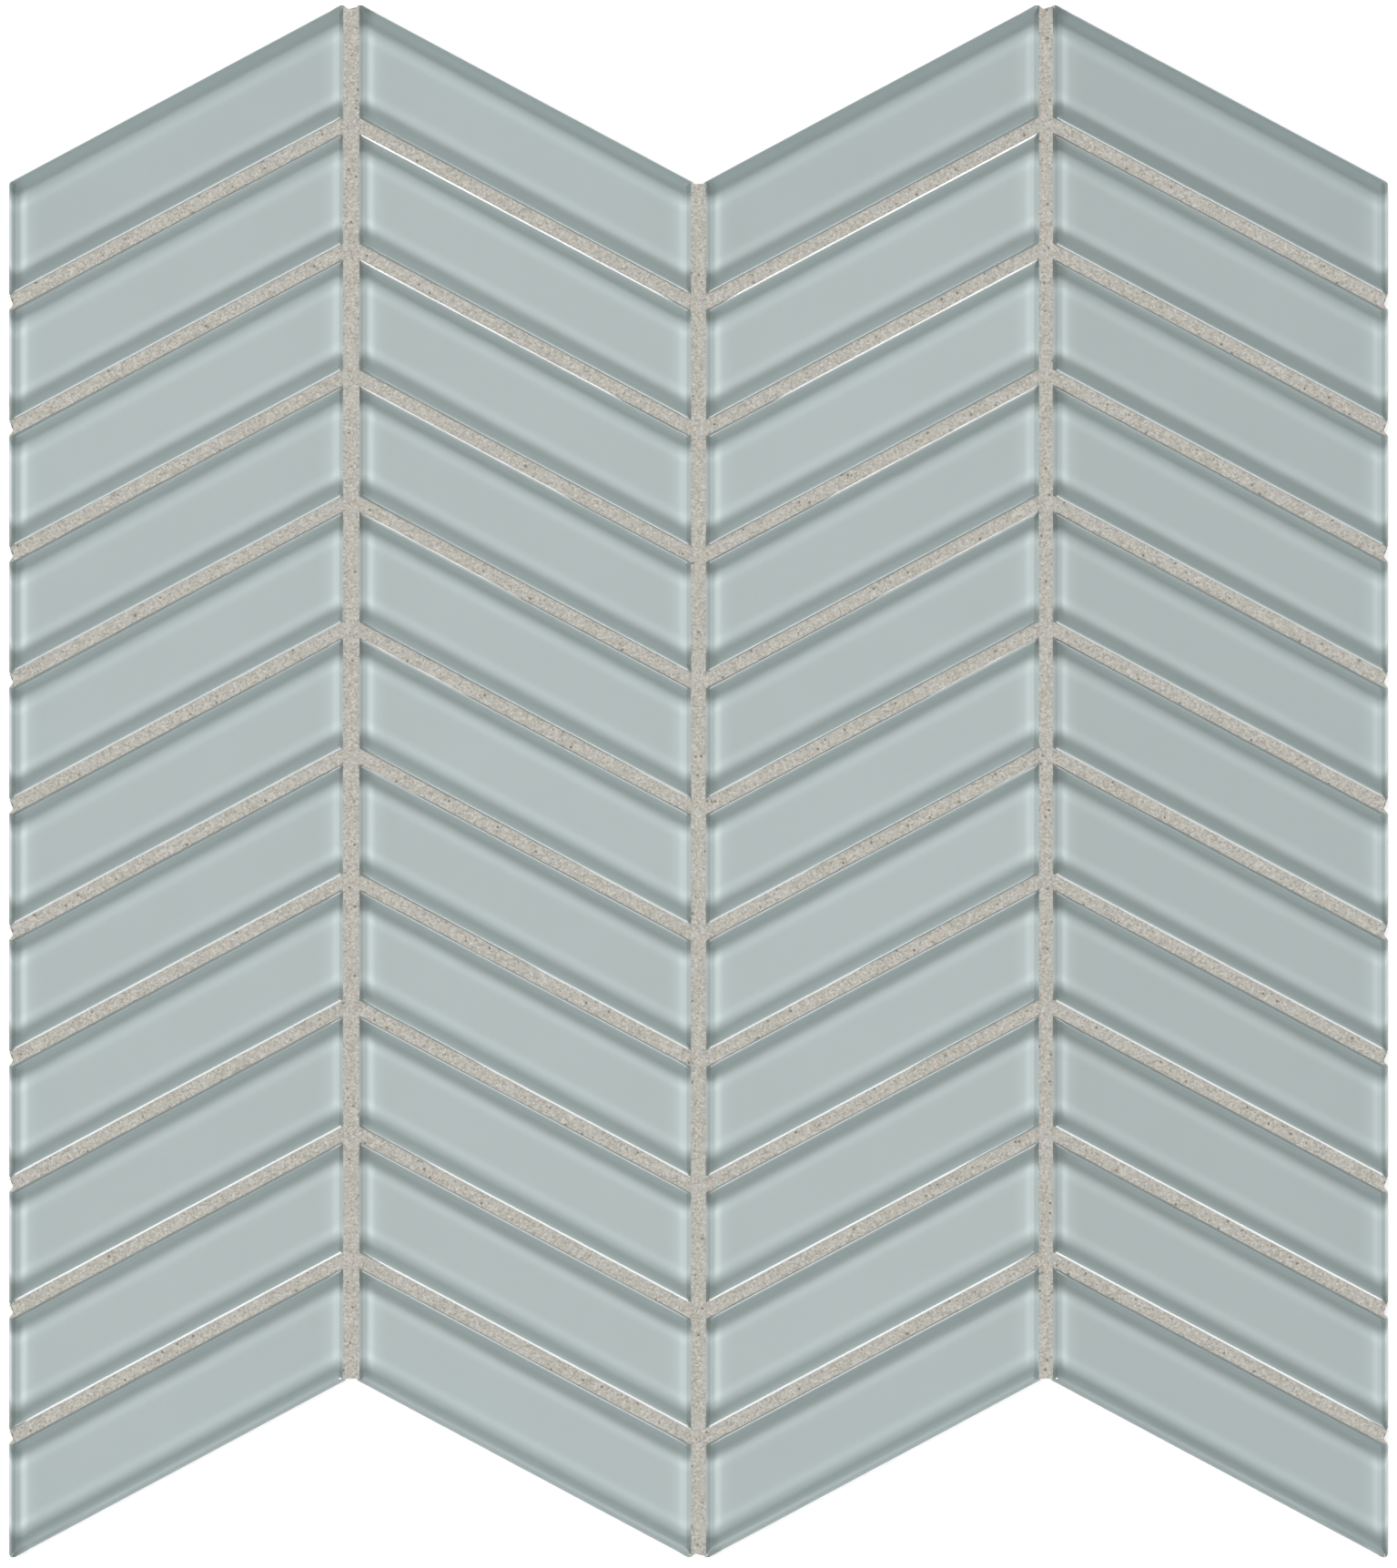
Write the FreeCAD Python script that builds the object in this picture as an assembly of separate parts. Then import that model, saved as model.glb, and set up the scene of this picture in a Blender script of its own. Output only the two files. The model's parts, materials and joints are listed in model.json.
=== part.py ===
"""Chevron glass mosaic sheet: slanted glass tiles on a fibreglass backing mesh, with grouted joints.

The sheet lies face up. X runs across the columns, Y runs up the chevrons and Z points out of the
glass face. The origin is under the middle of the sheet, on the back of the mesh. All sizes are in
millimetres.
"""

import FreeCAD
import Part

import math
import os

from FreeCAD import Vector

# Driving dimensions: the glass tile
TILE_RUN = 74.2  # width of a tile, measured square to its upright ends
TILE_STRIP = 22.9  # width of the glass strip, measured square to its slanted sides
GLASS_THICKNESS = 8.0
SLANT_DEG = 28.1  # slope of the chevron arms
EDGE_ROUND = 2.0  # fire-polished rounding between the face and the sides
TIP_NIP = 1.2  # nipped off the two pointed corners, measured along both sides

# Driving dimensions: the layout
COLUMNS = 4
ROWS = 11
UPRIGHT_JOINT = 2.0  # glass to glass, between columns
SLANTED_JOINT = 1.5  # glass to glass, between the tiles of a column

# Driving dimensions: the grout
GROUT_DEPTH = 0.4  # below the glass face, where the grout laps onto the rounded edges
END_SCOOP_DEPTH = 1.1  # how far the grout is drawn back where a joint runs out of the sheet
END_SCOOP_RADIUS = 1.9
NOTCH_SET_BACK = 0.5  # of the grout, at the inner corners of the zigzag

# Driving dimensions: the backing mesh
MESH_THICKNESS = 0.4
MESH_INSET = 1.5  # from the outer edges of the glass to the cut edge of the mesh

# Derived layout
SLANT = math.radians(SLANT_DEG)
SIDE_HEIGHT = TILE_STRIP / math.cos(SLANT)  # upright height of a tile's end
JOINT_HEIGHT = SLANTED_JOINT / math.cos(SLANT)
ROW_PITCH = SIDE_HEIGHT + JOINT_HEIGHT
COLUMN_PITCH = TILE_RUN + UPRIGHT_JOINT
COLUMN_RISE = TILE_RUN * math.tan(SLANT)
SHEET_WIDTH = COLUMNS * COLUMN_PITCH - UPRIGHT_JOINT
SHEET_HEIGHT = ROWS * ROW_PITCH - JOINT_HEIGHT + COLUMN_RISE
GLASS_BACK = MESH_THICKNESS
GLASS_FACE = GLASS_BACK + GLASS_THICKNESS

# Derived detail
GROUT_LEVEL = GLASS_FACE - GROUT_DEPTH
TIP_DROP = TIP_NIP * math.sin(SLANT)  # how much lower a nipped point stands


def rising(column):
    """True for the columns whose tiles climb to the right."""
    return column % 2 == 0


def column_left(column):
    """X of the left ends of a column's tiles."""
    return -SHEET_WIDTH / 2 + column * COLUMN_PITCH


def joint_x(index):
    """X of the middle of the upright joint after the column of that index."""
    return column_left(index) + TILE_RUN + UPRIGHT_JOINT / 2


def arm_y(column, x):
    """How far a column's slanted lines have climbed at x, above their lower end."""
    climbed = x - column_left(column)
    if not rising(column):
        climbed = TILE_RUN - climbed
    return climbed * math.tan(SLANT)


def extruded(points, bottom, top):
    """A prism on a plan outline, between two heights."""
    corners = [Vector(x, y, bottom) for x, y in points]
    return Part.Face(Part.makePolygon(corners + corners[:1])).extrude(Vector(0, 0, top - bottom))


def arm_outline(column, x_from, x_to, y_low, height):
    """Plan corners of a slanted stretch of a column: y_low is its lower side at the column's low end."""
    return [
        (x_from, y_low + arm_y(column, x_from)),
        (x_to, y_low + arm_y(column, x_to)),
        (x_to, y_low + arm_y(column, x_to) + height),
        (x_from, y_low + arm_y(column, x_from) + height),
    ]


def pointed_corners(block):
    """The two upright edges of a slanted block that lie farthest from its middle."""
    upright = [edge for edge in block.Edges if edge.BoundBox.ZLength > GLASS_THICKNESS / 2]
    middle = block.CenterOfMass
    return sorted(upright, key=lambda edge: edge.CenterOfMass.distanceToPoint(middle))[-2:]


def face_edges(block):
    """The edges round the glass face of a block."""
    return [edge for edge in block.Edges if edge.BoundBox.ZMin > GLASS_FACE - EDGE_ROUND / 2]


def tile_bottom(row):
    """Y of a tile's lower side at the low end of its column. Row 0 is the lowest."""
    return -SHEET_HEIGHT / 2 + row * ROW_PITCH


def glass_tile(column, row):
    """One tile: a slanted glass block with nipped points and a rounded edge round its face."""
    left = column_left(column)
    outline = arm_outline(column, left, left + TILE_RUN, tile_bottom(row), SIDE_HEIGHT)
    block = extruded(outline, GLASS_BACK, GLASS_FACE)
    blunted = block.makeChamfer(TIP_NIP, pointed_corners(block))
    polished = block.makeFillet(EDGE_ROUND, face_edges(block))
    return polished.common(blunted)


def upright_span(index):
    """Lowest and highest Y of the grout in an upright joint, between the ends of the glass beside it."""
    climbed = arm_y(index, column_left(index) + TILE_RUN)
    low = tile_bottom(0) + climbed
    high = tile_bottom(ROWS - 1) + SIDE_HEIGHT + climbed
    if rising(index):
        return low + NOTCH_SET_BACK, high - TIP_NIP
    return low + TIP_NIP, high - NOTCH_SET_BACK


def slanted_ends(column):
    """X where a column's slanted joints start and stop: a joint's middle, or the sheet's edge."""
    start = -SHEET_WIDTH / 2 if column == 0 else joint_x(column - 1)
    end = SHEET_WIDTH / 2 if column == COLUMNS - 1 else joint_x(column)
    return start, end


def joint_bottom(row):
    """Y of the lower side of the slanted joint above a row, at the low end of its column."""
    return tile_bottom(row) + SIDE_HEIGHT


def joint_blanks():
    """Plain bars along every joint, wide enough to lap onto the rounded edges of the glass."""
    bars = []
    reach = UPRIGHT_JOINT / 2 + EDGE_ROUND
    for index in range(COLUMNS - 1):
        low, high = upright_span(index)
        x = joint_x(index)
        outline = [(x - reach, low), (x + reach, low), (x + reach, high), (x - reach, high)]
        bars.append(extruded(outline, GLASS_BACK, GROUT_LEVEL))
    lap = EDGE_ROUND / math.cos(SLANT)
    for column in range(COLUMNS):
        start, end = slanted_ends(column)
        for row in range(ROWS - 1):
            outline = arm_outline(column, start, end, joint_bottom(row) - lap, JOINT_HEIGHT + 2 * lap)
            bars.append(extruded(outline, GLASS_BACK, GROUT_LEVEL))
    return bars


def end_scoop(x, y, out_x, out_y):
    """A round hollow in the open end of a joint at x, y, drawn in from the outward side."""
    back = END_SCOOP_RADIUS - END_SCOOP_DEPTH
    centre = Vector(x + back * out_x, y + back * out_y, 0)
    return Part.makeCylinder(END_SCOOP_RADIUS, GLASS_FACE, centre)


def end_scoops():
    """The hollow ends of the joints at the upper points and at the left and right edges of the sheet."""
    scoops = []
    for index in range(COLUMNS - 1):
        if rising(index):
            scoops.append(end_scoop(joint_x(index), SHEET_HEIGHT / 2 - TIP_DROP, 0, 1))
    for column, edge, outward in ((0, -SHEET_WIDTH / 2, -1), (COLUMNS - 1, SHEET_WIDTH / 2, 1)):
        for row in range(ROWS - 1):
            middle = joint_bottom(row) + JOINT_HEIGHT / 2 + arm_y(column, edge)
            scoops.append(end_scoop(edge, middle, outward, 0))
    return scoops


def grout_body(tiles):
    """All joints as one cast piece that fills round the glass, struck off just below its face."""
    bars = joint_blanks()
    return bars[0].multiFuse(bars[1:]).cut(tiles).cut(end_scoops()).removeSplitter()


def mesh_sheet():
    """The backing mesh as a plain thin sheet, cut to the zigzag of the glass."""
    edge = SHEET_WIDTH / 2 - MESH_INSET
    trim = MESH_INSET / math.cos(SLANT)
    turns = [joint_x(index) for index in range(COLUMNS - 1)]
    lower = []
    for x in [-edge, *turns, edge]:
        column = min(int((x + SHEET_WIDTH / 2) / COLUMN_PITCH), COLUMNS - 1)
        lower.append((x, tile_bottom(0) + trim + arm_y(column, x)))
    height = (ROWS - 1) * ROW_PITCH + SIDE_HEIGHT - 2 * trim
    upper = [(x, y + height) for x, y in reversed(lower)]
    return extruded(lower + upper, 0, MESH_THICKNESS)


def main():
    os.makedirs("parts", exist_ok=True)
    tiles = []
    for column in range(COLUMNS):
        for row in range(ROWS):
            tile = glass_tile(column, row)
            tile.exportStep(f"parts/tile_col{column + 1}_row{ROWS - row:02d}.step")
            tiles.append(tile)
    grout_body(tiles).exportStep("parts/grout.step")
    mesh_sheet().exportStep("parts/backing_mesh.step")


main()
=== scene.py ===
"""Looks of a chevron glass mosaic sheet: back-painted glass tiles, sanded grout and a woven mesh back.

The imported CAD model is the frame. Everything is in metres, face up: X across the columns, Y up the
chevrons, Z out of the glass.
"""

import json
import math
import random
from contextlib import contextmanager
from itertools import groupby

import bpy
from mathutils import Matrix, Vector, noise

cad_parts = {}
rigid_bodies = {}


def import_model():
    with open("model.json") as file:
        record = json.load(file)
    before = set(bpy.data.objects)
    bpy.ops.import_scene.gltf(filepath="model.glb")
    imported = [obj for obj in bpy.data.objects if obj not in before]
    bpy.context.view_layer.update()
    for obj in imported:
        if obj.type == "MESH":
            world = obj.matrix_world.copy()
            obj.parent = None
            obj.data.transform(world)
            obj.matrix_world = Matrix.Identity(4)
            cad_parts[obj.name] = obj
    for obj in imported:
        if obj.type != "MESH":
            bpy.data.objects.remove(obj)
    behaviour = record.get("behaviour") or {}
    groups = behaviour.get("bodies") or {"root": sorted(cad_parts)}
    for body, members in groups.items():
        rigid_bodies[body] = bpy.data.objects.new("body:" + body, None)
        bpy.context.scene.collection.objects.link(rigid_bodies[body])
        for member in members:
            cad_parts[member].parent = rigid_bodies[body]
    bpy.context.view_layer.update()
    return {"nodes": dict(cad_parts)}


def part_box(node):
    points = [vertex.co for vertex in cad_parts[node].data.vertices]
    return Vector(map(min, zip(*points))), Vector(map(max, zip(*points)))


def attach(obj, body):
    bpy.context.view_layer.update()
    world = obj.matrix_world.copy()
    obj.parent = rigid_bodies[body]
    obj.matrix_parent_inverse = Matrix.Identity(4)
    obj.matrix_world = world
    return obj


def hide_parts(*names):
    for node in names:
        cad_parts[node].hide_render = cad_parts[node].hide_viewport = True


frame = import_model()

MM = 0.001

# Sizes of the glass, as in the CAD model
SLANT = math.radians(28.1)
STRIP = 22.9 * MM
SIDE = STRIP / math.cos(SLANT)
EDGE_ROUND = 2.0 * MM
COLUMNS = sum(name.endswith("_row01") for name in frame["nodes"])
ROWS = sum(name.startswith("tile_col1_") for name in frame["nodes"])

# Finer sizes of the glass
CLEARANCE = 0.02 * MM  # between glass and grout, so that their surfaces never share a place
COAT = 0.01 * MM  # of the paint on the back of the glass
TIP_CUT = 1.03 * MM  # from the sharp point of a tile to the nip across it
TIP_TURN = math.radians(22)  # between the three faces of a nip
TIP_SOFT = 0.3 * MM
CORNER_SOFT = 0.5 * MM
ROUND_STEPS = 7
SOFT_STEPS = 3
FACE_LOOP = 0.12 * MM  # from the rounded edges to the loop that keeps the face flat
END_LOOP = 4.0 * MM  # from a tile's sides to the loops that keep its edges true
GLASS_CREASE = math.radians(30)

# Material slots of a tile. The quiet ones show no lamp, the end one is glass tinted grey as painted
# shade, and the arris is the bright slanted edge.
CLEAR, RIM, PAINTED, COATED, END, QUIET, QUIET_RIM, ARRIS = range(8)
QUIETER = {CLEAR: QUIET, RIM: QUIET_RIM}

# How far a facet's normal points up, or out of the sheet, where the finish of a tile changes
FACE_UP = 0.999
BACK_UP = -0.9
END_ROUND_UP = (0.2, 0.985)
ARRIS_UP = (0.6, 0.91)
SIDE_LEAD = 0.05  # least lead of X over Y in a normal that faces an end, or of Y over X at a side
ARRIS_OUT = 0.5
RIM_OUT = 0.6
QUIET_OUT = 0.08

# Painted light and shade on the paint beside the edges of a tile, for the shade cast by the grout and
# the light thrown by the polished edges: mm from the edge, width in mm, brightness
UPPER_BANDS = ((5.8, 0.95, 0.10), (2.0, 0.6, 0.06), (3.05, 0.85, -0.07), (4.2, 0.62, -0.04))
LOWER_BANDS = ((5.9, 1.0, 0.105), (1.75, 0.6, 0.06), (3.45, 1.05, -0.09), (4.35, 0.7, -0.06))
LEFT_BANDS = ((3.05, 0.95, 0.385), (4.8, 1.3, 0.055))
RIGHT_BANDS = ((2.5, 0.95, 0.235), (4.0, 1.5, 0.06))
END_BAND_FADE = (2.5, 5.5)  # mm from the slanted sides, where the painted light bands at the ends begin
PAINTED_SHADE_RED = ((2.6, 1.4, -0.045),)  # painted shade: of the red alone, in the shaded bands beside the slanted sides

# Shares of the plain tone of the paint, tile by tile: a random tone, painted shade over the last column
# where the light falls off towards the right, and the first row a little darker
TONE_SEED = 7
TONE_CHANCE = 0.012
LAST_COLUMN_PAINTED_SHADE = 0.05
FIRST_ROW_DARKER = 0.03

# Sizes of the grout
SLANTED_HALF = 0.75 * MM  # half of the gap between two tiles of a column
UPRIGHT_HALF = 1.0 * MM  # half of the gap between two columns
SLANTED_LAP = 0.68 * MM  # of the grout onto the rounded edges of the glass
UPRIGHT_LAPS = (0.78 * MM, 0.62 * MM, 0.52 * MM)  # by joint, left to right
EDGE_GAP = 0.03 * MM  # between the grout and the rounded edges of the glass
HOLLOW = 0.22 * MM  # of the tooled joints
SCOOP = 1.0 * MM  # of the grout's ends at the points and at the left and right edges
SCOOP_REACH = 4.0 * MM  # from an open end, over which the grout is drawn in
RIM_DRAW = 0.05 * MM  # by which even the rims of an open end are drawn in
POINT_SET_BACK = 0.7 * MM
NOTCH_SET_BACK = 0.4 * MM
CROSSING = 0.6 * MM  # by which a slanted joint runs on under an upright one and dips
CROSSING_FILL = 0.7  # share of a slanted joint's hollow that an upright one fills there
MOUTH_REACH = 5 / 3  # of the step down to a slanted joint, in halves of its width

# Unevenness of the grout
LAP_WANDER = 0.055 * MM
HOLLOW_WANDER = 0.25  # as a share of the hollow
WANDER_LENGTH = 4.0 * MM
CALM_LENGTH = 2.0 * MM  # beside a crossing, over which the wandering dies down
COLUMN_SEEDS = 20  # set aside for the joints of a column
SEED_STEP = 7.3  # between the lines through the noise
NOISE_GAIN = 1.6  # that takes the noise to about -1 and 1

# Sections through the grout
TOP_STEPS = 8
FLANK_STEPS = 3
STATION = 1.0 * MM  # between two sections of a joint
SKIN_CREASE = math.radians(50)

# Sizes of the mesh
THREAD_PITCH = 5.0 * MM
THREAD_WIDTH = 0.7 * MM
THREAD_THICKNESS = 0.14 * MM
THREAD_MIDDLE = 0.19 * MM
THREAD_SWING = 0.08 * MM
MESH_INSET = 1.5 * MM
CUT_STEP = 0.5 * MM  # in finding where a thread leaves the sheet
CUT_GAP = 0.1  # of a half pitch, from a cut end to the next station at least

# The photograph's frame
FRAME_WIDTH = 306.4 * MM  # of the plane of the glass faces that the frame takes in
CAMERA_HEIGHT = 3.0
CAMERA_DROP = 0.6 * MM  # of the frame's middle below the sheet's
FLOOR_SIZE = 12.0
FLOOR_DROP = 0.1 * MM  # below the sheet
ROOM_LIGHT = 0.18


# Modelling by hand


@contextmanager
def editing(piece, kind):
    """Edit mode on one piece, picking by vertex, edge or face."""
    bpy.context.view_layer.objects.active = piece
    bpy.ops.object.mode_set(mode="EDIT")
    bpy.ops.mesh.select_mode(type=kind)
    yield
    bpy.ops.object.mode_set(mode="OBJECT")


def start_fresh():
    """Leaves nothing selected, so that an operator acts on the next piece alone."""
    bpy.ops.object.select_all(action="DESELECT")


def pick_none(piece):
    with editing(piece, "VERT"):
        bpy.ops.mesh.select_all(action="DESELECT")


def pick_vertices(piece, test):
    pick_none(piece)
    for vertex in piece.data.vertices:
        vertex.select = test(vertex.co)


def pick_edges(piece, test):
    pick_none(piece)
    points = piece.data.vertices
    for edge in piece.data.edges:
        start, end = edge.vertices
        edge.select = test(points[start].co, points[end].co)


def pick_faces(piece, test):
    pick_none(piece)
    for face in piece.data.polygons:
        face.select = test(face)


# Shading by expression


class Value:
    """A node's output. Arithmetic on it adds Math nodes to its finish."""

    def __init__(self, finish, socket):
        self.finish = finish
        self.socket = socket

    def out(self, name):
        """Another output of the same node."""
        return Value(self.finish, self.socket.node.outputs[name])

    def math(self, operation, *others):
        sockets = dict(enumerate((self, *others)))
        return self.finish.node("ShaderNodeMath", {"operation": operation}, sockets)

    def hill(self, centre, width):
        """A smooth hill of height 1 over the place where the value is at centre."""
        offset = (self - centre) * (1 / width)
        return (offset * offset * -1).math("EXPONENT")

    def hills(self, bands):
        """The sum of hills, given as (centre, width, height) triples."""
        first, *others = (self.hill(centre, width) * height for centre, width, height in bands)
        return sum(others, first)

    def rise(self, low, high):
        """0 up to low, 1 from high on and straight in between."""
        settings = {"operation": "MULTIPLY", "use_clamp": True}
        return self.finish.node("ShaderNodeMath", settings, {0: self - low, 1: 1 / (high - low)})

    def __add__(self, other):
        return self.math("ADD", other)

    __radd__ = __add__

    def __mul__(self, other):
        return self.math("MULTIPLY", other)

    __rmul__ = __mul__

    def __sub__(self, other):
        return self.math("SUBTRACT", other)

    def __rsub__(self, other):
        return (self * -1) + other


class Finish:
    """A material and the one way that nodes are added to it."""

    def __init__(self, name):
        self.material = bpy.data.materials.new(name)
        self.material.use_nodes = True
        self.nodes = self.material.node_tree.nodes
        self.links = self.material.node_tree.links
        self.nodes.clear()

    def node(self, kind, settings=None, sockets=None, output=0):
        """Adds a node: its settings first, then the values or links of its sockets."""
        node = self.nodes.new(kind)
        for name, setting in (settings or {}).items():
            if name == "stops":
                self.set_stops(node.color_ramp, setting)
            else:
                setattr(node, name, setting)
        for key, value in (sockets or {}).items():
            if isinstance(value, Value):
                self.links.new(value.socket, node.inputs[key])
            else:
                node.inputs[key].default_value = value
        return Value(self, node.outputs[output]) if node.outputs else None

    @staticmethod
    def set_stops(ramp, stops):
        """Colours of a ramp, as (place, colour) pairs in order."""
        while len(ramp.elements) < len(stops):
            ramp.elements.new(1.0)
        for element, (place, colour) in zip(ramp.elements, stops):
            element.position = place
            element.color = colour

    def mix(self, factor, first, second, blend="MIX"):
        """Two colours mixed, or the first one multiplied by the second."""
        settings = {"data_type": "RGBA", "blend_type": blend}
        return self.node("ShaderNodeMix", settings, {0: factor, 6: first, 7: second}, output=2)

    def place(self):
        return self.node("ShaderNodeTexCoord", output="Object")

    def clouds(self, scale, detail):
        """Soft noise over the piece."""
        sockets = {"Vector": self.place(), "Scale": scale, "Detail": detail}
        return self.node("ShaderNodeTexNoise", None, sockets)

    def cells(self, scale):
        """Distances from the middles of scattered cells. Another output is a colour for each cell."""
        sockets = {"Vector": self.place(), "Scale": scale}
        return self.node("ShaderNodeTexVoronoi", None, sockets, output="Distance")

    def close(self, surface):
        """Takes a shader as the finished surface."""
        self.node("ShaderNodeOutputMaterial", None, {"Surface": surface})
        return self.material

    def close_plain(self, sockets):
        """Takes one Principled shader as the finished surface."""
        return self.close(self.node("ShaderNodeBsdfPrincipled", None, sockets))


def grey(level):
    return (level, level, level, 1.0)


GLASS = {
    "Base Color": (0.93, 0.965, 0.955, 1.0),
    "Roughness": 0.02,
    "IOR": 1.52,
    "Transmission Weight": 1.0,
}


def glass(name, changes=None, rim=False):
    """Clear glass with a faint green cast. Lamps shine straight through it onto the paint.

    On the sheet's outer sides, its rim, it keeps lamp light off the paint, as the grout does.
    """
    finish = Finish(name)
    bent = finish.node("ShaderNodeBsdfPrincipled", None, {**GLASS, **(changes or {})})
    if rim:
        met = finish.node("ShaderNodeBsdfDiffuse", None, {"Color": (0.45, 0.50, 0.49, 1.0)})
    else:
        met = finish.node("ShaderNodeBsdfTransparent", None, {"Color": (0.95, 0.975, 0.97, 1.0)})
    to_lamp = finish.node("ShaderNodeLightPath", output="Is Shadow Ray")
    lit = to_lamp.math("MAXIMUM", to_lamp.out("Is Diffuse Ray"))
    return finish.close(finish.node("ShaderNodeMixShader", None, {0: lit, 1: bent, 2: met}))


PAINT = (0.547, 0.597, 0.602, 1.0)


def back_paint(run):
    """The paint on the back of the glass, with painted light and shade in its colour: the bands that the
    grout's shade and the polished edges throw on it.
    """
    finish = Finish("back_paint")
    place = finish.node("ShaderNodeUVMap", {"uv_map": "edges"})
    spots = finish.node("ShaderNodeSeparateXYZ", None, {0: place}, output="X")
    left = spots * (run / MM)
    right = (1 - spots) * (run / MM)
    lower = spots.out("Y") * (STRIP / MM)
    upper = (1 - spots.out("Y")) * (STRIP / MM)
    inside = upper.math("MINIMUM", lower).rise(*END_BAND_FADE)
    # Painted light and shade: darker and lighter bands beside the slanted sides, lighter bands at the
    # ends
    painted_side_light_and_shade = (1 + upper.hills(UPPER_BANDS)) * (1 + lower.hills(LOWER_BANDS))
    painted_end_light = (1 + inside * left.hills(LEFT_BANDS)) * (1 + inside * right.hills(RIGHT_BANDS))
    # The tile's own tone, with painted shade in the last column
    tone = finish.node("ShaderNodeAttribute", {"attribute_name": "tone"}, output="Fac")
    level = painted_side_light_and_shade * painted_end_light * tone * (0.98 + finish.clouds(45.0, 2.0) * 0.04)
    # Painted shade: less red in the shaded bands beside the slanted sides
    red = level * (1 + upper.hills(PAINTED_SHADE_RED) + lower.hills(PAINTED_SHADE_RED))
    shade = finish.node("ShaderNodeCombineColor", None, {0: red, 1: level, 2: level})
    colour = finish.mix(1.0, PAINT, shade, blend="MULTIPLY")
    return finish.close_plain({"Base Color": colour, "Roughness": 0.6, "Specular IOR Level": 0.0})


def back_coat():
    """The outer side of the paint, rolled on unevenly."""
    finish = Finish("back_coat")
    colour = finish.mix(finish.clouds(120.0, 4.0), (0.52, 0.54, 0.53, 1.0), (0.62, 0.64, 0.63, 1.0))
    return finish.close_plain({"Base Color": colour, "Roughness": 0.7})


def woven_fibre():
    """White glass-fibre thread, a little uneven along its length."""
    finish = Finish("woven_fibre")
    colour = finish.mix(finish.clouds(900.0, 3.0), (0.70, 0.70, 0.68, 1.0), (0.90, 0.90, 0.88, 1.0))
    return finish.close_plain({"Base Color": colour, "Roughness": 0.55})


SAND = (
    (0.0, (0.40, 0.38, 0.34, 1.0)),
    (0.3, (0.515, 0.505, 0.46, 1.0)),
    (0.7, (0.565, 0.555, 0.51, 1.0)),
    (1.0, (0.68, 0.665, 0.62, 1.0)),
)


def sanded_grout():
    """Matt beige cement grout with pale and dark sand in it."""
    finish = Finish("sanded_grout")
    grains = finish.cells(2600.0).out("Color")
    grain = finish.node("ShaderNodeSeparateColor", None, {0: grains}, output="Red")
    sand = finish.node("ShaderNodeValToRGB", {"stops": SAND}, {0: grain})
    patches = finish.clouds(260.0, 3.0).rise(0.35, 0.75)
    warmth = finish.mix(patches, grey(1.0), (1.0, 0.965, 0.93, 1.0))
    sand = finish.mix(1.0, sand, warmth, blend="MULTIPLY")
    cells = finish.cells(520.0)
    chosen = finish.node("ShaderNodeSeparateColor", None, {0: cells.out("Color")}, output="Green")
    speck = (1 - cells.rise(0.12, 0.2)) * chosen.rise(0.62, 0.67)
    colour = finish.mix(speck * 0.8, sand, (0.22, 0.17, 0.13, 1.0))
    bumps = {"Strength": 0.25, "Distance": 0.1 * MM, "Height": finish.clouds(3200.0, 2.0)}
    relief = finish.node("ShaderNodeBump", None, bumps)
    return finish.close_plain(
        {"Base Color": colour, "Roughness": 0.9, "Specular IOR Level": 0.12, "Normal": relief}
    )


def floor_white():
    """A white sweep: plain diffuse, lifted to full white where it is seen, also in glass."""
    finish = Finish("floor_white")
    plain = finish.node("ShaderNodeBsdfDiffuse", None, {"Color": grey(0.8)})
    lift = finish.node("ShaderNodeEmission", None, {"Color": grey(1.0), "Strength": 0.6})
    sight = finish.node("ShaderNodeLightPath", output="Is Camera Ray")
    seen = sight.math("MAXIMUM", sight.out("Is Glossy Ray"))
    seen = seen.math("MAXIMUM", sight.out("Is Transmission Ray"))
    dark = finish.node("ShaderNodeEmission", None, {"Strength": 0.0})
    shown = finish.node("ShaderNodeMixShader", None, {0: seen, 1: dark, 2: lift})
    return finish.close(finish.node("ShaderNodeAddShader", None, {0: plain, 1: shown}))


# The glass tiles


def tile_node(column, row):
    return f"tile_col{column}_row{row:02d}"


def lean(column):
    """1 for the columns that climb to the right, -1 for those that fall."""
    return 1 if column % 2 else -1


def across_strip(point, climb):
    """How far a plan point lies above the middle line of a slanted tile, square to its sides."""
    return (point.y - climb * math.tan(SLANT) * point.x) * math.cos(SLANT)


def tip_planes(climb, run):
    """Places and outward directions of the cuts across the two pointed corners."""
    planes = []
    half_point = math.radians(45) - SLANT / 2
    for end in (1, -1):
        tip = Vector((end * run / 2, end * climb * (run * math.tan(SLANT) + SIDE) / 2, 0))
        outward = math.atan2(climb * math.cos(half_point), math.sin(half_point))
        outward += 0 if end > 0 else math.pi
        middle = Vector((math.cos(outward), math.sin(outward), 0))
        for turn in (-TIP_TURN, 0, TIP_TURN):
            facing = Vector((math.cos(outward + turn), math.sin(outward + turn), 0))
            planes.append((tip - middle * TIP_CUT, facing))
    return planes


def on_end_round(facet):
    low, high = END_ROUND_UP
    toward_end = abs(facet.normal.x) - abs(facet.normal.y)
    return low < facet.normal.z < high and toward_end > SIDE_LEAD


def on_arris(facet):
    low, high = ARRIS_UP
    toward_side = abs(facet.normal.y) - abs(facet.normal.x)
    return low < facet.normal.z < high and toward_side > SIDE_LEAD


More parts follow.
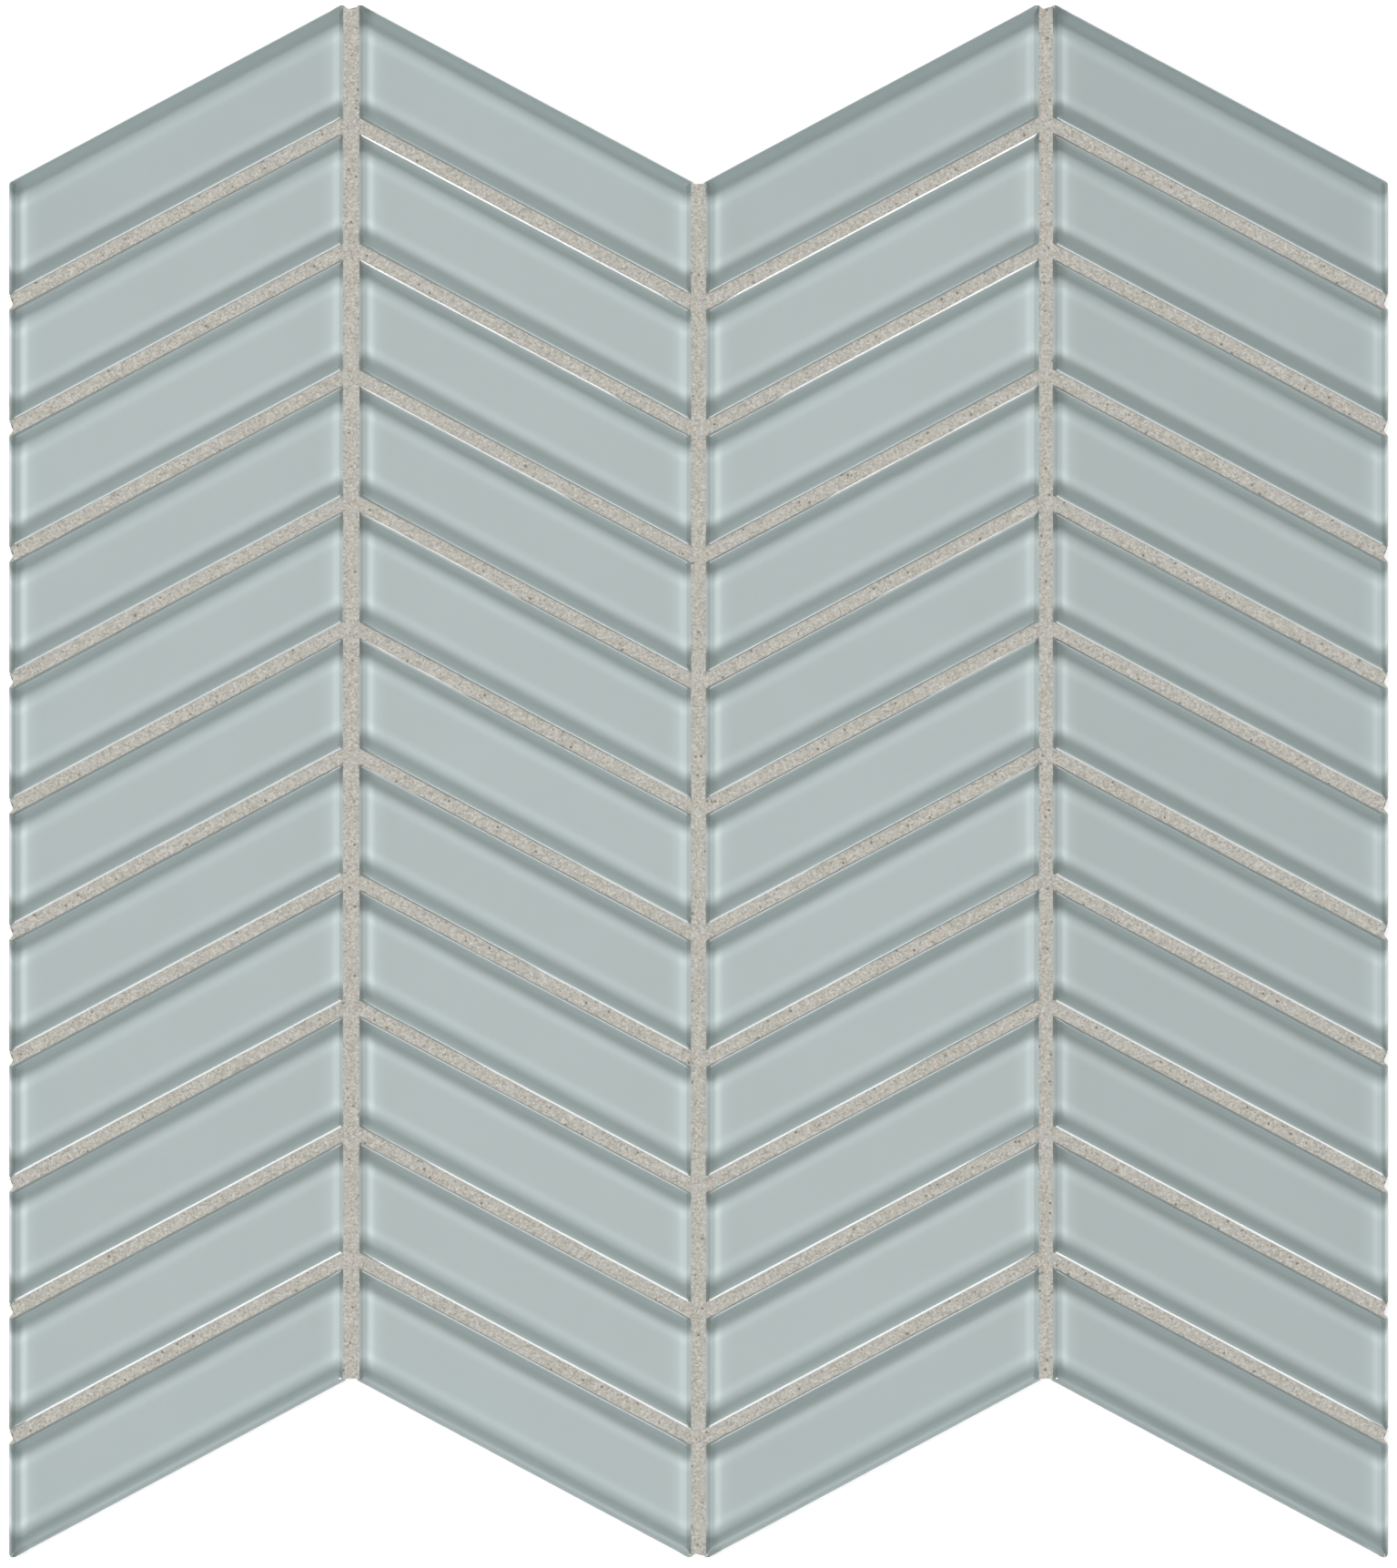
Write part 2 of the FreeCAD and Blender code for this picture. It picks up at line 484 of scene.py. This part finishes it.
def model_tile(name, climb, run, back, face, finishes):
    """One glass tile about the origin: cut, nipped at the points, fire polished, painted on the back."""
    start_fresh()
    bpy.ops.mesh.primitive_cube_add(size=1, location=(0, 0, (back + face) / 2))
    tile = bpy.context.object
    tile.name = name
    gap = 2 * CLEARANCE
    tile.scale = (run - gap, SIDE - gap / math.cos(SLANT), face - back)
    bpy.ops.object.transform_apply(location=True, rotation=True, scale=True)

    for end in (-1, 1):
        pick_vertices(tile, lambda point: point.x * end > 0)
        with editing(tile, "VERT"):
            bpy.ops.transform.translate(value=(0, end * climb * run * math.tan(SLANT) / 2, 0))

    pick_edges(tile, lambda start, stop: min(start.z, stop.z) > face - CLEARANCE)
    with editing(tile, "EDGE"):
        bpy.ops.mesh.bevel(offset=EDGE_ROUND, segments=ROUND_STEPS, profile=0.5, clamp_overlap=False)

    def same_corner(start, stop, pointed):
        above = across_strip(start, climb)
        if start.x * stop.x < 0 or above * across_strip(stop, climb) < 0:
            return False
        return (start.x * above * climb > 0) == pointed

    for pointed, size in ((True, TIP_SOFT), (False, CORNER_SOFT)):
        pick_edges(tile, lambda start, stop: same_corner(start, stop, pointed))
        with editing(tile, "EDGE"):
            bpy.ops.mesh.bevel(offset=size, segments=SOFT_STEPS, profile=0.5, clamp_overlap=True)

    for place, facing in tip_planes(climb, run):
        with editing(tile, "VERT"):
            bpy.ops.mesh.select_all(action="SELECT")
            bpy.ops.mesh.bisect(plane_co=place, plane_no=facing, use_fill=True, clear_outer=True)

    pick_faces(tile, lambda facet: facet.normal.z > FACE_UP and facet.area > STRIP * STRIP)
    with editing(tile, "FACE"):
        bpy.ops.mesh.inset(thickness=FACE_LOOP)
    across = Vector((-climb * math.sin(SLANT), math.cos(SLANT), 0))
    for facing, half in ((Vector((1, 0, 0)), run / 2), (across, STRIP / 2)):
        for end in (-1, 1):
            with editing(tile, "VERT"):
                bpy.ops.mesh.select_all(action="SELECT")
                bpy.ops.mesh.bisect(plane_co=facing * end * (half - END_LOOP), plane_no=facing)

    for finish in finishes:
        tile.data.materials.append(finish)
    for slot, test in ((END, on_end_round), (ARRIS, on_arris)):
        pick_faces(tile, test)
        tile.active_material_index = slot
        with editing(tile, "FACE"):
            bpy.ops.object.material_slot_assign()
    pick_faces(tile, lambda facet: facet.normal.z < BACK_UP)
    tile.active_material_index = PAINTED
    with editing(tile, "FACE"):
        bpy.ops.object.material_slot_assign()
        bpy.ops.mesh.duplicate()
        bpy.ops.transform.translate(value=(0, 0, -COAT))
        bpy.ops.mesh.extrude_region_move(TRANSFORM_OT_translate={"value": (0, 0, -COAT)})
        bpy.ops.mesh.select_linked()
        tile.active_material_index = COATED
        bpy.ops.object.material_slot_assign()
        bpy.ops.mesh.normals_make_consistent(inside=False)
    bpy.ops.object.shade_smooth_by_angle(angle=GLASS_CREASE)
    map_edges(tile, climb, run)
    return tile


def map_edges(tile, climb, run):
    """A UV map with U from the left end to the right one and V from the lower side to the upper one."""
    layer = tile.data.uv_layers[0] if tile.data.uv_layers else tile.data.uv_layers.new()
    layer.name = "edges"
    for corner, uv in zip(tile.data.loops, layer.data):
        point = tile.data.vertices[corner.vertex_index].co
        uv.uv = (0.5 + point.x / run, 0.5 + across_strip(point, climb) / STRIP)


def outer_sides(column, row):
    """Directions in which a tile faces out of the sheet, with the upper one first."""
    across = Vector((-lean(column) * math.sin(SLANT), math.cos(SLANT), 0))
    sides = []
    if row == 1:
        sides.append(across)
    if row == ROWS:
        sides.append(-across)
    if column == 1:
        sides.append(Vector((-1, 0, 0)))
    if column == COLUMNS:
        sides.append(Vector((1, 0, 0)))
    return sides


def lay_tile(pattern, column, row, tone):
    """A copy of a modelled tile where the CAD model has that tile, with its own tone of paint, which
    holds painted shade in the last column.
    """
    node = tile_node(column, row)
    low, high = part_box(node)
    tile = pattern.copy()
    tile.data = pattern.data.copy()
    tile.name = node + "_glass"
    bpy.context.collection.objects.link(tile)
    middle = (low + high) / 2
    for vertex in tile.data.vertices:
        vertex.co.x += middle.x
        vertex.co.y += middle.y
    sides = outer_sides(column, row)
    for facet in tile.data.polygons:
        outward = max((facet.normal.dot(side) for side in sides), default=0.0)
        if facet.material_index == ARRIS and outward > ARRIS_OUT:
            facet.material_index = CLEAR
        if facet.material_index in (CLEAR, END) and outward > RIM_OUT:
            facet.material_index = RIM
        if row == 1 and facet.material_index in QUIETER and facet.normal.dot(sides[0]) > QUIET_OUT:
            facet.material_index = QUIETER[facet.material_index]
    mark = tile.data.attributes.new("tone", "FLOAT", "FACE")
    mark.data.foreach_set("value", [tone] * len(tile.data.polygons))
    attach(tile, "root")
    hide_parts(node)


def tile_finishes(run):
    """The materials of a tile, in the order of its slots."""
    no_lamps = {"Specular Tint": grey(0.0)}
    return (
        glass("clear_glass"),
        glass("rim_glass", rim=True),
        back_paint(run),
        back_coat(),
        # painted shade: the rounded ends in glass tinted grey, for the dark lines at the ends of the
        # tiles
        glass("end_glass_painted_shade", {"Base Color": (0.60, 0.63, 0.62, 1.0)}),
        glass("quiet_glass", no_lamps),
        glass("quiet_rim_glass", no_lamps, rim=True),
        glass("arris_glass", {"Coat Weight": 1.0, "Coat IOR": 4.0, "Coat Roughness": 0.02}),
    )


def lay_tiles():
    """All tiles of the sheet, from one pattern for each lean."""
    low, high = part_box(tile_node(1, 1))
    run = high.x - low.x
    finishes = tile_finishes(run)
    chance = random.Random(TONE_SEED)
    for climb in (1, -1):
        pattern = model_tile("pattern", climb, run, low.z + 3 * COAT, high.z, finishes)
        for column in range(1, COLUMNS + 1):
            if lean(column) == climb:
                for row in range(1, ROWS + 1):
                    tone = 1 + chance.uniform(-TONE_CHANCE, TONE_CHANCE)
                    # painted shade: the light falls off towards the last column
                    tone -= LAST_COLUMN_PAINTED_SHADE if column == COLUMNS else 0
                    tone -= FIRST_ROW_DARKER if row == 1 else 0
                    lay_tile(pattern, column, row, tone)
        bpy.data.objects.remove(pattern)


# The grout and the mesh


class Skin:
    """Points and faces gathered for one mesh of many closed tubes."""

    def __init__(self):
        self.points = []
        self.faces = []

    def tube(self, rings):
        """A tube through rings that go round the same way, closed at both ends."""
        first = len(self.points)
        size = len(rings[0])
        for ring in rings:
            self.points.extend(ring)
        for index in range(len(rings) - 1):
            near = first + index * size
            for side in range(size):
                beside = (side + 1) % size
                self.faces.append((near + side, near + beside, near + size + beside, near + size + side))
        last = first + (len(rings) - 1) * size
        self.faces.append(tuple(range(first, first + size)))
        self.faces.append(tuple(range(last, last + size)))

    def piece(self, name, finish):
        """The gathered tubes as one object, with outward faces."""
        mesh = bpy.data.meshes.new(name)
        mesh.from_pydata(self.points, [], self.faces)
        mesh.materials.append(finish)
        piece = bpy.data.objects.new(name, mesh)
        bpy.context.collection.objects.link(piece)
        start_fresh()
        piece.select_set(True)
        with editing(piece, "FACE"):
            bpy.ops.mesh.select_all(action="SELECT")
            bpy.ops.mesh.normals_make_consistent(inside=False)
        bpy.ops.object.shade_smooth_by_angle(angle=SKIN_CREASE)
        return piece


class Layout:
    """Where the CAD model has its tiles, and the lines between them."""

    def __init__(self):
        self.middles = {}
        for column in range(1, COLUMNS + 1):
            for row in range(1, ROWS + 1):
                low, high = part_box(tile_node(column, row))
                self.middles[column, row] = (low + high) / 2
        low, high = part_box(tile_node(1, 1))
        self.back = low.z
        self.face = high.z
        self.left = low.x
        self.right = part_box(tile_node(COLUMNS, 1))[1].x

    def axis(self, index):
        """X of the middle of the upright joint after a column."""
        return (self.middles[index, 1].x + self.middles[index + 1, 1].x) / 2

    def slanted_y(self, column, x, row):
        """Y of a column's slanted line at x: row may lie between two rows."""
        upper = self.middles[column, math.floor(row)]
        lower = self.middles[column, math.ceil(row)]
        middle = (upper + lower) / 2
        return middle.y + lean(column) * math.tan(SLANT) * (x - middle.x)

    def column_at(self, x):
        return min(range(1, COLUMNS + 1), key=lambda column: abs(self.middles[column, 1].x - x))

    def span(self, x):
        """Lowest and highest Y of the glass at x."""
        column = self.column_at(x)
        return self.slanted_y(column, x, ROWS) - SIDE / 2, self.slanted_y(column, x, 1) + SIDE / 2


def share_of(part, whole):
    """A part of a whole, kept between 0 and 1."""
    return min(1.0, max(0.0, part / whole))


def wander(place, seed):
    """Smooth chance between about -1 and 1 along a joint."""
    return NOISE_GAIN * noise.noise(Vector((place / WANDER_LENGTH, seed * SEED_STEP, 0.5)))


class GroutSection:
    """Sections through the grout, as (offset from the joint's middle, height) pairs that go round."""

    def __init__(self, half, back, face):
        self.half = half
        self.low = back + COAT
        self.centre = face - EDGE_ROUND
        self.radius = EDGE_ROUND + EDGE_GAP

    def rim_height(self, lap):
        return self.centre + math.sqrt(self.radius**2 - (EDGE_ROUND - lap) ** 2)

    def flank(self, lap):
        """From just under the far rim down the rounded edge of the glass to the bottom."""
        turn = math.acos((EDGE_ROUND - lap) / self.radius)
        points = []
        for step in range(FLANK_STEPS - 1, -1, -1):
            angle = turn * step / FLANK_STEPS
            offset = self.half + EDGE_ROUND - self.radius * math.cos(angle)
            points.append((offset, self.centre + self.radius * math.sin(angle)))
        points.append((self.half - EDGE_GAP, self.low))
        return points

    def ring(self, near_lap, far_lap, hollow, drop=0.0):
        """A whole section, with its top hollowed and dropped below the rims."""
        near = -(self.half + near_lap)
        far = self.half + far_lap
        near_height = self.rim_height(near_lap) - drop
        far_height = self.rim_height(far_lap) - drop
        top = []
        for step in range(TOP_STEPS + 1):
            share = step / TOP_STEPS
            bow = 1 - (2 * share - 1) ** 2
            height = near_height + (far_height - near_height) * share - hollow * bow
            top.append((near + (far - near) * share, height))
        back_up = [(-offset, height) for offset, height in reversed(self.flank(near_lap))]
        return top + self.flank(far_lap) + back_up

    def uneven_ring(self, lap, place, seed, free, fill=0.0, drop=0.0):
        """A section whose laps and hollow wander along the joint, as far as they are free to."""
        near = lap + LAP_WANDER * wander(place, seed) * free
        far = lap + LAP_WANDER * wander(place, seed + 0.5) * free
        hollow = HOLLOW * (1 + HOLLOW_WANDER * wander(place, seed + 0.25) * free)
        return self.ring(near, far, hollow - fill, drop)


def spread(start, end, step):
    """Even stations from start to end, about a step apart."""
    count = max(1, round(abs(end - start) / step))
    return [start + (end - start) * index / count for index in range(count + 1)]


def scooped(offset, half_width, from_end):
    """How far a point near the open end of a joint is drawn in."""
    share = share_of(abs(offset), half_width)
    fade = 1 - share_of(from_end, SCOOP_REACH)
    return (RIM_DRAW + SCOOP * (1 - share**2)) * fade**2


def slanted_joint(skin, layout, column, row):
    """The grout between two tiles of a column. It dips under the upright joints at its ends."""
    section = GroutSection(SLANTED_HALF, layout.back, layout.face)
    half_width = SLANTED_HALF + SLANTED_LAP
    open_left = column == 1
    open_right = column == COLUMNS
    start = layout.left
    if not open_left:
        start = layout.axis(column - 1) + UPRIGHT_HALF + UPRIGHT_LAPS[column - 2]
    end = layout.right
    if not open_right:
        end = layout.axis(column) - UPRIGHT_HALF - UPRIGHT_LAPS[column - 1]
    rings = []

    def add_ring(x, dip=0.0):
        from_left = CALM_LENGTH if open_left else x - start
        from_right = CALM_LENGTH if open_right else end - x
        free = share_of(min(from_left, from_right), CALM_LENGTH)
        ring = []
        for offset, height in section.uneven_ring(SLANTED_LAP, x, column * COLUMN_SEEDS + row, free):
            shift = 0.0
            across = offset if height > section.centre else 0.0
            if open_left:
                shift += scooped(across, half_width, x - start)
            if open_right:
                shift -= scooped(across, half_width, end - x)
            y = layout.slanted_y(column, x + shift, row + 0.5) + offset / math.cos(SLANT)
            ring.append((x + shift, y, max(section.low, height - dip)))
        rings.append(ring)

    if not open_left:
        add_ring(start - CROSSING, CROSSING)
    for x in spread(start, end, STATION):
        add_ring(x)
    if not open_right:
        add_ring(end + CROSSING, CROSSING)
    skin.tube(rings)


def upright_joint(skin, layout, index):
    """The grout between two columns, open at the sides where the slanted joints run in."""
    section = GroutSection(UPRIGHT_HALF, layout.back, layout.face)
    axis = layout.axis(index)
    lap = UPRIGHT_LAPS[index - 1]
    half_width = UPRIGHT_HALF + lap
    peak = lean(index) > 0
    inner_x = axis - UPRIGHT_HALF
    low = layout.slanted_y(index, inner_x, ROWS) - SIDE / 2
    low += NOTCH_SET_BACK if peak else POINT_SET_BACK
    high = layout.slanted_y(index, inner_x, 1) + SIDE / 2
    high -= POINT_SET_BACK if peak else NOTCH_SET_BACK

    mouth_x = axis - half_width
    mouth_half = (SLANTED_HALF + SLANTED_LAP) / math.cos(SLANT)
    mouths = [layout.slanted_y(index, mouth_x, row + 0.5) for row in range(ROWS - 1, 0, -1)]
    step_down = section.rim_height(lap) - section.rim_height(SLANTED_LAP)
    stations = []
    start = low
    for mouth in mouths:
        stations += spread(start, mouth - mouth_half, STATION)
        stations += spread(mouth - mouth_half, mouth + mouth_half, 2 * mouth_half / TOP_STEPS)[1:-1]
        start = mouth + mouth_half
    stations += spread(start, high, STATION)

    rings = []
    for y in stations:
        away = min(abs(y - mouth) for mouth in mouths) / mouth_half
        dip = HOLLOW * max(0.0, 1 - away**2)
        drop = dip + step_down * share_of(MOUTH_REACH - away, MOUTH_REACH - 1)
        free = share_of((away - 1) * mouth_half, CALM_LENGTH)
        ring = []
        for offset, height in section.uneven_ring(lap, y, index, free, CROSSING_FILL * dip, drop):
            across = offset if height > section.centre else 0.0
            if peak:
                shift = -scooped(across, half_width, high - y)
            else:
                shift = scooped(across, half_width, y - low)
            ring.append((axis + offset, y + shift, height))
        rings.append(ring)
    skin.tube(rings)


def cast_grout(layout):
    """All the joints as one piece in place of the CAD grout."""
    skin = Skin()
    for column in range(1, COLUMNS + 1):
        for row in range(1, ROWS):
            slanted_joint(skin, layout, column, row)
    for index in range(1, COLUMNS):
        upright_joint(skin, layout, index)
    grout = skin.piece("grout_joints", sanded_grout())
    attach(grout, "root")
    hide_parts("grout")


def thread_rings(stations, place):
    """Flat thread sections. place gives a point for a station, a sideways and an upward offset."""
    wide = THREAD_WIDTH / 2
    thick = THREAD_THICKNESS / 2
    corners = ((-wide, 0), (0, thick), (wide, 0), (0, -thick))
    return [[place(station, side, up) for side, up in corners] for station in stations]


def thread_stations(start, end):
    """Stations at every half pitch and at both cut ends."""
    half = THREAD_PITCH / 2
    first = math.ceil(start / half + CUT_GAP)
    last = math.floor(end / half - CUT_GAP)
    return [start, *(index * half for index in range(first, last + 1)), end]


def weave_mesh(layout):
    """The backing mesh: threads over and under each other, cut to the zigzag of the glass."""
    skin = Skin()
    trim = MESH_INSET / math.cos(SLANT)
    low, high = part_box("backing_mesh")

    def swing(station, index):
        return THREAD_SWING * math.cos(math.pi * (station / THREAD_PITCH + index))

    for index in range(math.ceil(low.x / THREAD_PITCH), math.floor(high.x / THREAD_PITCH) + 1):
        x = index * THREAD_PITCH
        bottom, top = layout.span(x)

        def upright(station, side, up):
            return (x + side, station, THREAD_MIDDLE + swing(station, index) + up)

        skin.tube(thread_rings(thread_stations(bottom + trim, top - trim), upright))

    edge = layout.right - MESH_INSET
    places = spread(-edge, edge, CUT_STEP)
    for index in range(math.ceil(low.y / THREAD_PITCH), math.floor(high.y / THREAD_PITCH) + 1):
        y = index * THREAD_PITCH

        def level(station, side, up):
            return (station, y + side, THREAD_MIDDLE - swing(station, index) + up)

        def on_sheet(place):
            bottom, top = layout.span(place)
            return bottom + trim < y < top - trim

        for covered, group in groupby(places, on_sheet):
            run = list(group)
            if covered and len(run) > 2:
                skin.tube(thread_rings(thread_stations(run[0], run[-1]), level))
    mesh = skin.piece("woven_mesh", woven_fibre())
    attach(mesh, "root")
    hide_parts("backing_mesh")


# The set


def area_lamp(name, place, size_x, size_y, watts):
    lamp = bpy.data.lights.new(name, "AREA")
    lamp.shape = "RECTANGLE"
    lamp.size = size_x
    lamp.size_y = size_y
    lamp.energy = watts
    holder = bpy.data.objects.new(name, lamp)
    holder.location = place
    holder.rotation_euler = (-Vector(place)).to_track_quat("-Z", "Y").to_euler()
    holder.visible_camera = False
    bpy.context.collection.objects.link(holder)
    return holder


def softbox(name, place, size_x, size_y, watts):
    """A lamp that lights surfaces without showing on polished ones."""
    area_lamp(name, place, size_x, size_y, watts).visible_glossy = False


def strip(name, place, size_x, size_y, watts):
    """A lamp that only shows on polished surfaces, most of all as glints on the tiles' edges."""
    holder = area_lamp(name, place, size_x, size_y, watts)
    holder.visible_diffuse = False
    holder.visible_transmission = False


def light_set():
    """Lamps that face the middle of the sheet: places and sizes in metres, power in watts."""
    softbox("top_softbox", (0, 1.096, 2.247), 0.6, 0.35, 20.5)
    softbox("bottom_softbox", (0, -1.096, 2.247), 0.6, 0.35, 18.0)
    softbox("left_softbox", (-0.69, 0, 2.40), 0.35, 0.6, 11.5)
    strip("top_strip", (0, 0.28, 0.05), 0.16, 0.085, 0.11)
    strip("bottom_strip", (0, -0.20, 0.045), 0.24, 0.08, 0.068)
    strip("bottom_glow", (0, -0.20, 0.07), 0.26, 0.14, 0.038)
    strip("bottom_left_strip", (-0.145, -0.20, 0.015), 0.05, 0.03, 0.004)
    strip("bottom_right_strip", (0.145, -0.20, 0.015), 0.05, 0.03, 0.007)
    strip("top_fill", (0, 0.77, 0.92), 1.3, 0.87, 3.6)
    strip("bottom_fill", (0, -0.77, 0.92), 1.3, 0.87, 4.5)
    world = bpy.data.worlds.new("studio")
    world.use_nodes = True
    backdrop = world.node_tree.nodes["Background"]
    backdrop.inputs["Color"].default_value = grey(1.0)
    backdrop.inputs["Strength"].default_value = ROOM_LIGHT
    bpy.context.scene.world = world


def lay_floor():
    start_fresh()
    bpy.ops.mesh.primitive_plane_add(size=FLOOR_SIZE, location=(0, 0, -FLOOR_DROP))
    floor = bpy.context.object
    floor.name = "floor"
    floor.data.materials.append(floor_white())


def set_camera(face):
    """Straight down on the glass, from far off, as the photograph was taken."""
    camera = bpy.data.cameras.new("camera")
    camera.sensor_fit = "HORIZONTAL"
    camera.sensor_width = 36.0
    camera.lens = camera.sensor_width * (CAMERA_HEIGHT - face) / FRAME_WIDTH
    holder = bpy.data.objects.new("camera", camera)
    holder.location = (0, -CAMERA_DROP, CAMERA_HEIGHT)
    bpy.context.collection.objects.link(holder)
    bpy.context.scene.camera = holder


def main():
    scene = bpy.context.scene
    scene.view_settings.view_transform = "Standard"
    layout = Layout()
    lay_tiles()
    cast_grout(layout)
    weave_mesh(layout)
    light_set()
    lay_floor()
    set_camera(layout.face)


main()
